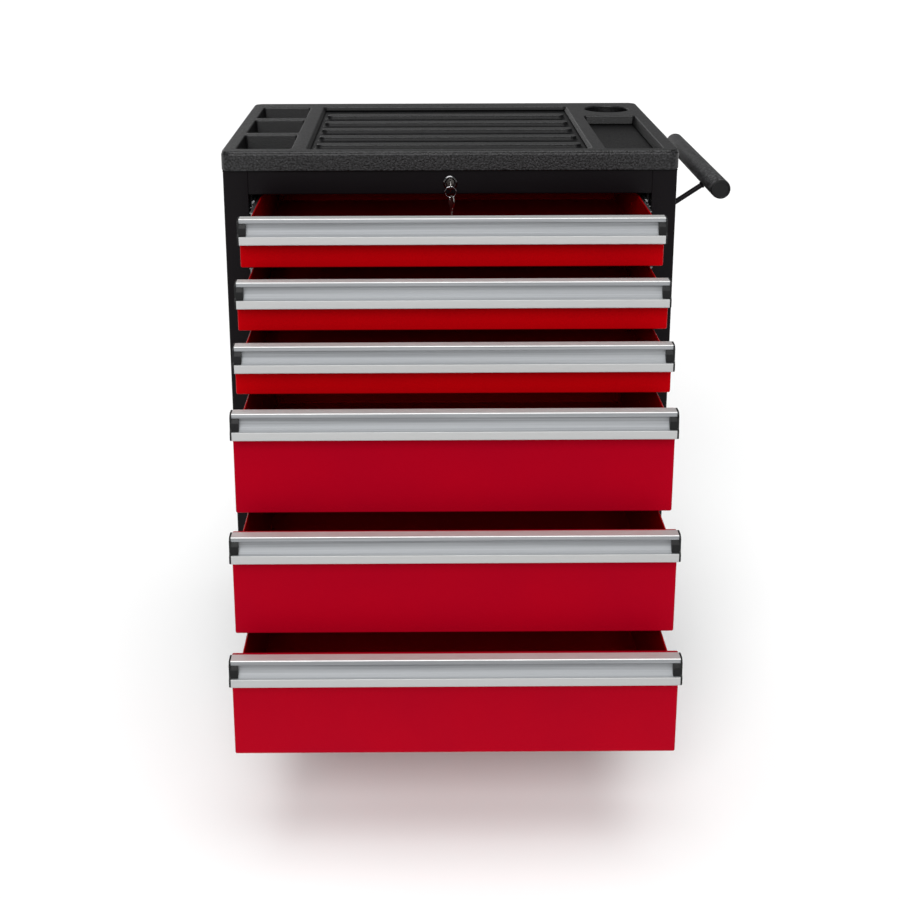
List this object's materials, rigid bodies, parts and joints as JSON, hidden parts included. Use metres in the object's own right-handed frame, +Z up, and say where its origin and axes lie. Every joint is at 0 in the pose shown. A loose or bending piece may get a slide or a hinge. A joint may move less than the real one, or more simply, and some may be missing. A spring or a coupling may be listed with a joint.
{
  "type": "rolling tool chest",
  "caption": "Steel tool cabinet on casters with sliding drawers, aluminium pulls, a moulded tool tray on top, a side push handle and a cam lock.",
  "frame": {"origin": "on the floor, under the middle of the bounding box of the chest as it stands with its drawers part open", "axes": "+Z up, the drawers open towards -Y, the push handle is on the +X side"},
  "size_m": [0.764, 0.88, 0.93],
  "materials": {
    "black_paint": "semi-gloss black powder coat",
    "red_paint": "gloss red powder coat",
    "aluminium": "satin anodised extrusion",
    "zinc_steel": "bright zinc plated steel",
    "chrome": "polished chrome plate",
    "tray_plastic": "fine-textured moulded plastic",
    "black_plastic": "satin moulded plastic",
    "grip_foam": "matt foam rubber",
    "tyre": "solid rubber"
  },
  "bodies": {
    "cabinet": {"side_panel_left": "black_paint", "side_panel_right": "black_paint", "back_panel": "black_paint", "base_pan": "black_paint", "front_top_rail": "black_paint", "top_deck": "black_paint", "handle_frame": "black_paint", "top_tray": "tray_plastic", "slide_rack_left": "zinc_steel", "slide_rack_right": "zinc_steel", "handle_grip": "grip_foam", "grip_cap_front": "black_plastic", "grip_cap_back": "black_plastic", "lock_housing": "chrome", "fixed_caster_front_bracket": "zinc_steel", "fixed_caster_front_axle": "zinc_steel", "swivel_caster_front_plate": "zinc_steel", "fixed_caster_back_bracket": "zinc_steel", "fixed_caster_back_axle": "zinc_steel", "swivel_caster_back_plate": "zinc_steel"},
    "fixed_wheel_front": {"fixed_caster_front_wheel": "tyre"},
    "swivel_fork_front": {"swivel_caster_front_fork": "zinc_steel", "swivel_caster_front_axle": "zinc_steel"},
    "swivel_wheel_front": {"swivel_caster_front_wheel": "tyre"},
    "brake_pedal_front": {"swivel_caster_front_pedal": "black_plastic"},
    "fixed_wheel_back": {"fixed_caster_back_wheel": "tyre"},
    "swivel_fork_back": {"swivel_caster_back_fork": "zinc_steel", "swivel_caster_back_axle": "zinc_steel"},
    "swivel_wheel_back": {"swivel_caster_back_wheel": "tyre"},
    "brake_pedal_back": {"swivel_caster_back_pedal": "black_plastic"},
    "drawer_1": {"drawer_1_box": "red_paint", "drawer_1_pull": "aluminium"},
    "slide_1": {"drawer_1_slide_left": "zinc_steel", "drawer_1_slide_right": "zinc_steel"},
    "drawer_2": {"drawer_2_box": "red_paint", "drawer_2_pull": "aluminium"},
    "slide_2": {"drawer_2_slide_left": "zinc_steel", "drawer_2_slide_right": "zinc_steel"},
    "drawer_3": {"drawer_3_box": "red_paint", "drawer_3_pull": "aluminium"},
    "slide_3": {"drawer_3_slide_left": "zinc_steel", "drawer_3_slide_right": "zinc_steel"},
    "drawer_4": {"drawer_4_box": "red_paint", "drawer_4_pull": "aluminium"},
    "slide_4": {"drawer_4_slide_left": "zinc_steel", "drawer_4_slide_right": "zinc_steel"},
    "drawer_5": {"drawer_5_box": "red_paint", "drawer_5_pull": "aluminium"},
    "slide_5": {"drawer_5_slide_left": "zinc_steel", "drawer_5_slide_right": "zinc_steel"},
    "drawer_6": {"drawer_6_box": "red_paint", "drawer_6_pull": "aluminium"},
    "slide_6": {"drawer_6_slide_left": "zinc_steel", "drawer_6_slide_right": "zinc_steel"},
    "lock_plug": {"lock_plug": "chrome", "key": "chrome"},
    "key_ring": {"key_ring": "chrome"},
    "lock_bar": {"lock_bar": "zinc_steel"}
  },
  "joints": [
    {"name": "drawer_1_slide", "type": "slide", "parent": "cabinet", "child": "drawer_1", "axis": [0, -1, 0], "range_m": [-0.139, 0.261]},
    {"name": "slide_1_travel", "type": "slide", "parent": "cabinet", "child": "slide_1", "axis": [0, -1, 0], "range_m": [-0.0695, 0.1305]},
    {"name": "drawer_2_slide", "type": "slide", "parent": "cabinet", "child": "drawer_2", "axis": [0, -1, 0], "range_m": [-0.192, 0.208]},
    {"name": "slide_2_travel", "type": "slide", "parent": "cabinet", "child": "slide_2", "axis": [0, -1, 0], "range_m": [-0.096, 0.104]},
    {"name": "drawer_3_slide", "type": "slide", "parent": "cabinet", "child": "drawer_3", "axis": [0, -1, 0], "range_m": [-0.239, 0.161]},
    {"name": "slide_3_travel", "type": "slide", "parent": "cabinet", "child": "slide_3", "axis": [0, -1, 0], "range_m": [-0.1195, 0.0805]},
    {"name": "drawer_4_slide", "type": "slide", "parent": "cabinet", "child": "drawer_4", "axis": [0, -1, 0], "range_m": [-0.291, 0.109]},
    {"name": "slide_4_travel", "type": "slide", "parent": "cabinet", "child": "slide_4", "axis": [0, -1, 0], "range_m": [-0.1455, 0.0545]},
    {"name": "drawer_5_slide", "type": "slide", "parent": "cabinet", "child": "drawer_5", "axis": [0, -1, 0], "range_m": [-0.345, 0.055]},
    {"name": "slide_5_travel", "type": "slide", "parent": "cabinet", "child": "slide_5", "axis": [0, -1, 0], "range_m": [-0.1725, 0.0275]},
    {"name": "drawer_6_slide", "type": "slide", "parent": "cabinet", "child": "drawer_6", "axis": [0, -1, 0], "range_m": [-0.396, 0.004]},
    {"name": "slide_6_travel", "type": "slide", "parent": "cabinet", "child": "slide_6", "axis": [0, -1, 0], "range_m": [-0.198, 0.002]},
    {"name": "fixed_wheel_front_spin", "type": "hinge", "parent": "cabinet", "child": "fixed_wheel_front", "pos_m": [-0.325, 0.0345, 0.05], "axis": [0, 1, 0], "continuous": true},
    {"name": "swivel_front_turn", "type": "hinge", "parent": "cabinet", "child": "swivel_fork_front", "pos_m": [0.245, 0.0345, 0.115], "axis": [0, 0, 1], "continuous": true},
    {"name": "swivel_wheel_front_spin", "type": "hinge", "parent": "swivel_fork_front", "child": "swivel_wheel_front", "pos_m": [0.213, 0.0345, 0.05], "axis": [0, 1, 0], "continuous": true},
    {"name": "brake_front_press", "type": "hinge", "parent": "swivel_fork_front", "child": "brake_pedal_front", "pos_m": [0.185, 0.0345, 0.104], "axis": [0, -1, 0], "range_deg": [0, 15]},
    {"name": "fixed_wheel_back_spin", "type": "hinge", "parent": "cabinet", "child": "fixed_wheel_back", "pos_m": [-0.325, 0.3775, 0.05], "axis": [0, 1, 0], "continuous": true},
    {"name": "swivel_back_turn", "type": "hinge", "parent": "cabinet", "child": "swivel_fork_back", "pos_m": [0.245, 0.3775, 0.115], "axis": [0, 0, 1], "continuous": true},
    {"name": "swivel_wheel_back_spin", "type": "hinge", "parent": "swivel_fork_back", "child": "swivel_wheel_back", "pos_m": [0.213, 0.3775, 0.05], "axis": [0, 1, 0], "continuous": true},
    {"name": "brake_back_press", "type": "hinge", "parent": "swivel_fork_back", "child": "brake_pedal_back", "pos_m": [0.185, 0.3775, 0.104], "axis": [0, -1, 0], "range_deg": [0, 15]},
    {"name": "lock_turn", "type": "hinge", "parent": "cabinet", "child": "lock_plug", "pos_m": [-0.04, -0.0215, 0.881], "axis": [0, 1, 0], "range_deg": [0, 90]},
    {"name": "lock_bar_lift", "type": "slide", "parent": "cabinet", "child": "lock_bar", "axis": [0, 0, 1], "range_m": [0, 0.0091]},
    {"name": "key_ring_swing", "type": "hinge", "parent": "lock_plug", "child": "key_ring", "pos_m": [-0.04, -0.0495, 0.8803], "axis": [1, 0, 0], "range_deg": [-45, 5]}
  ],
  "couplings": [
    {"joint": "slide_1_travel", "follows": "drawer_1_slide", "ratio": 0.5},
    {"joint": "slide_2_travel", "follows": "drawer_2_slide", "ratio": 0.5},
    {"joint": "slide_3_travel", "follows": "drawer_3_slide", "ratio": 0.5},
    {"joint": "slide_4_travel", "follows": "drawer_4_slide", "ratio": 0.5},
    {"joint": "slide_5_travel", "follows": "drawer_5_slide", "ratio": 0.5},
    {"joint": "slide_6_travel", "follows": "drawer_6_slide", "ratio": 0.5},
    {"joint": "lock_turn", "follows": "lock_bar_lift", "rad_per_m": 172.5}
  ]
}
